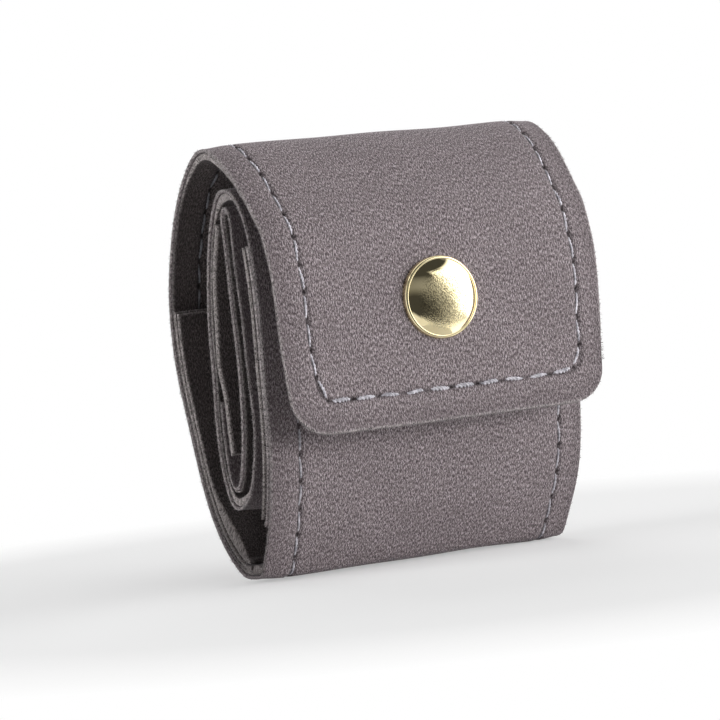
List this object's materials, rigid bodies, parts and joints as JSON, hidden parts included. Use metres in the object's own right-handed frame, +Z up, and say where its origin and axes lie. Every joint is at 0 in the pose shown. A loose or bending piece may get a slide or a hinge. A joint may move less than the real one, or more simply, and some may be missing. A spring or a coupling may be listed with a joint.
{
  "type": "jewelry roll",
  "caption": "Small rolled-up travel case for jewelry: a two-ply suede strip closed by a flap with a domed snap button.",
  "frame": {"origin": "middle of the flattened bottom fold that the roll stands on", "axes": "+X along the strip's width, to the right of someone who faces the snap; the flap faces -Y; +Z up along the closed roll's height"},
  "size_m": [0.0553, 0.0394, 0.0648],
  "materials": {
    "suede": "napped faux suede, matt",
    "lining": "napped faux suede, matt",
    "snap_gold": "pale gold plating, bright",
    "snap_steel": "plain spring steel"
  },
  "bodies": {
    "roll": {"wrap_suede": "suede", "wrap_lining": "lining", "pocket_back": "lining", "pocket_front": "suede", "leaf_front": "suede", "leaf_back": "lining", "inner_panel": "suede", "snap_stud": "snap_gold", "snap_post": "snap_steel"},
    "top": {"top_suede": "suede", "top_lining": "lining"},
    "flap": {"flap_suede": "suede", "flap_lining": "lining", "snap_cap": "snap_gold", "snap_socket": "snap_gold", "socket_spring": "snap_steel"}
  },
  "joints": [
    {"name": "top_lift", "type": "hinge", "parent": "roll", "child": "top", "pos_m": [0, 0.01, 0.0612], "axis": [-1, 0, 0], "range_deg": [0, 35]},
    {"name": "flap_open", "type": "hinge", "parent": "top", "child": "flap", "pos_m": [0, -0.01153, 0.05528], "axis": [-1, 0, 0], "range_deg": [0, 140]}
  ],
  "couplings": [
    {"joint": "top_lift", "follows": "flap_open", "ratio": 0.25}
  ]
}
